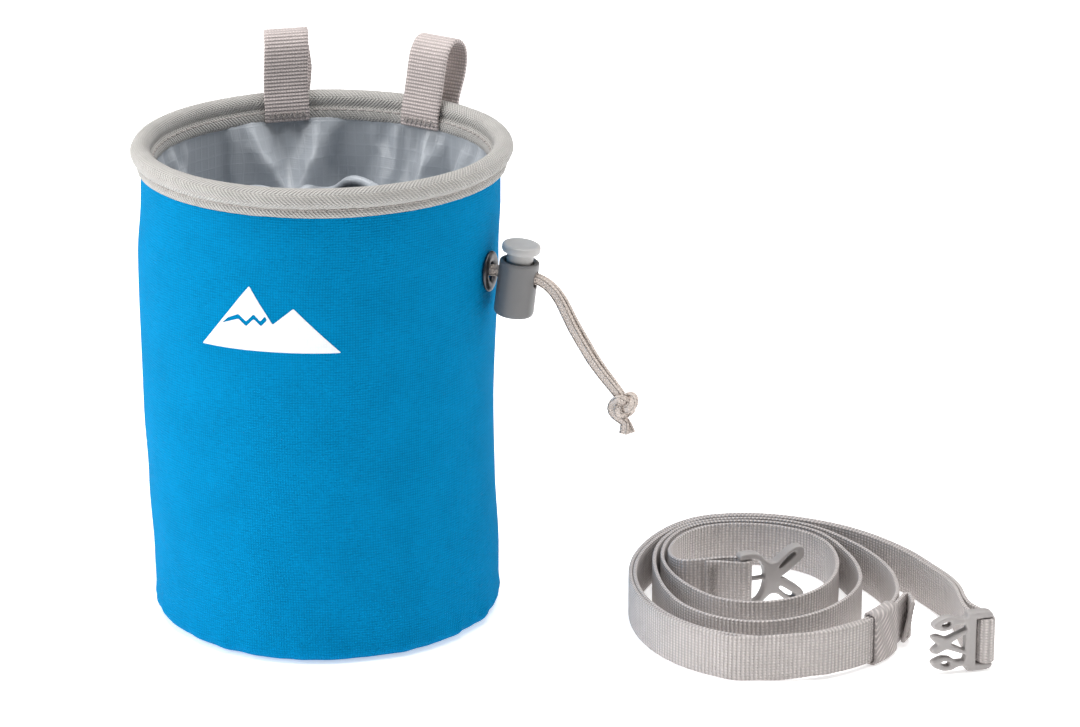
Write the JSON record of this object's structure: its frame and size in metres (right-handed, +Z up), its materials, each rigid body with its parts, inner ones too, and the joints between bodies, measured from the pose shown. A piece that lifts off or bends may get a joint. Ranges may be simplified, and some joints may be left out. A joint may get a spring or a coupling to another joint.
{
  "type": "chalk bag",
  "caption": "Cylindrical climbing chalk bag with a stiff bound rim, drawcord with cord lock, belt loops and its own coiled waist belt with a side-release buckle.",
  "frame": {"origin": "centre of the bag's round base, on the surface it stands on", "axes": "+Z up, +X towards the coiled belt, -Y towards the printed front"},
  "size_m": [0.2744, 0.1383, 0.1782],
  "materials": {
    "shell_fabric": "matte woven",
    "fleece": "napped",
    "hoop_plastic": "extruded",
    "binding_tape": "herringbone woven",
    "ripstop_nylon": "slightly shiny ripstop",
    "braided_cord": "braided",
    "eyelet_metal": "dark plated",
    "loop_webbing": "coarse woven",
    "thread": "stitched",
    "print_ink": "heat-transfer print",
    "lock_plastic": "moulded, fine texture",
    "button_plastic": "moulded, fine texture",
    "spring_steel": "drawn wire",
    "belt_webbing": "ribbed woven",
    "keeper_elastic": "woven elastic",
    "buckle_plastic": "moulded, satin"
  },
  "bodies": {
    "bag": {"outer_shell": "shell_fabric", "base_panel": "shell_fabric", "fleece_liner": "fleece", "liner_base": "fleece", "rim_hoop": "hoop_plastic", "rim_binding": "binding_tape", "collar": "ripstop_nylon", "collar_hem": "ripstop_nylon", "hem_cord": "braided_cord", "eyelet": "eyelet_metal", "eyelet_washer": "eyelet_metal", "belt_loop_left": "loop_webbing", "belt_loop_right": "loop_webbing", "loop_bartacks": "thread", "front_print": "print_ink", "drawcord_front": "braided_cord", "drawcord_back": "braided_cord", "cord_knot": "braided_cord"},
    "lock_barrel": {"cord_lock_barrel": "lock_plastic", "cord_lock_spring": "spring_steel"},
    "lock_button": {"cord_lock_button": "button_plastic"},
    "belt": {"belt_webbing": "belt_webbing", "belt_bartack": "thread"},
    "keeper": {"belt_keeper": "keeper_elastic"},
    "female_half": {"buckle_female": "buckle_plastic"},
    "male_half": {"buckle_male": "buckle_plastic"},
    "upper_arm": {"buckle_arm_upper": "buckle_plastic"},
    "lower_arm": {"buckle_arm_lower": "buckle_plastic"}
  },
  "joints": [
    {"name": "cord_lock_slide", "type": "slide", "parent": "bag", "child": "lock_barrel", "axis": [0.944, -0.3067, -0.1219], "range_m": [0, 0.0035]},
    {"name": "button_press", "type": "slide", "parent": "lock_barrel", "child": "lock_button", "axis": [-0.1159, 0.0377, -0.9925], "range_m": [0, 0.0026], "stiffness_N_per_m": 500, "springref_m": -0.002, "deforming": ["cord_lock_spring"]},
    {"name": "belt_lift", "type": "slide", "parent": "bag", "child": "belt", "axis": [0, 0, 1], "range_m": [0, 0.25]},
    {"name": "keeper_slide", "type": "hinge", "parent": "belt", "child": "keeper", "pos_m": [0.143, -0.027, 0.0088], "axis": [0, 0, 1], "range_deg": [-9, 2]},
    {"name": "female_swivel", "type": "hinge", "parent": "belt", "child": "female_half", "pos_m": [0.136, -0.0102, 0.0103], "axis": [0, 0, 1], "range_deg": [-25, 25]},
    {"name": "male_swivel", "type": "hinge", "parent": "belt", "child": "male_half", "pos_m": [0.2105, -0.0595, 0.0103], "axis": [0, 0, 1], "range_deg": [-10, 10]},
    {"name": "upper_arm_squeeze", "type": "hinge", "parent": "male_half", "child": "upper_arm", "pos_m": [0.20316, -0.06147, 0.0175], "axis": [0.2588, -0.9659, 0], "range_deg": [0, 8], "stiffness_Nm_per_rad": 0.2},
    {"name": "lower_arm_squeeze", "type": "hinge", "parent": "male_half", "child": "lower_arm", "pos_m": [0.20316, -0.06147, 0.0031], "axis": [-0.2588, 0.9659, 0], "range_deg": [0, 8], "stiffness_Nm_per_rad": 0.2}
  ]
}
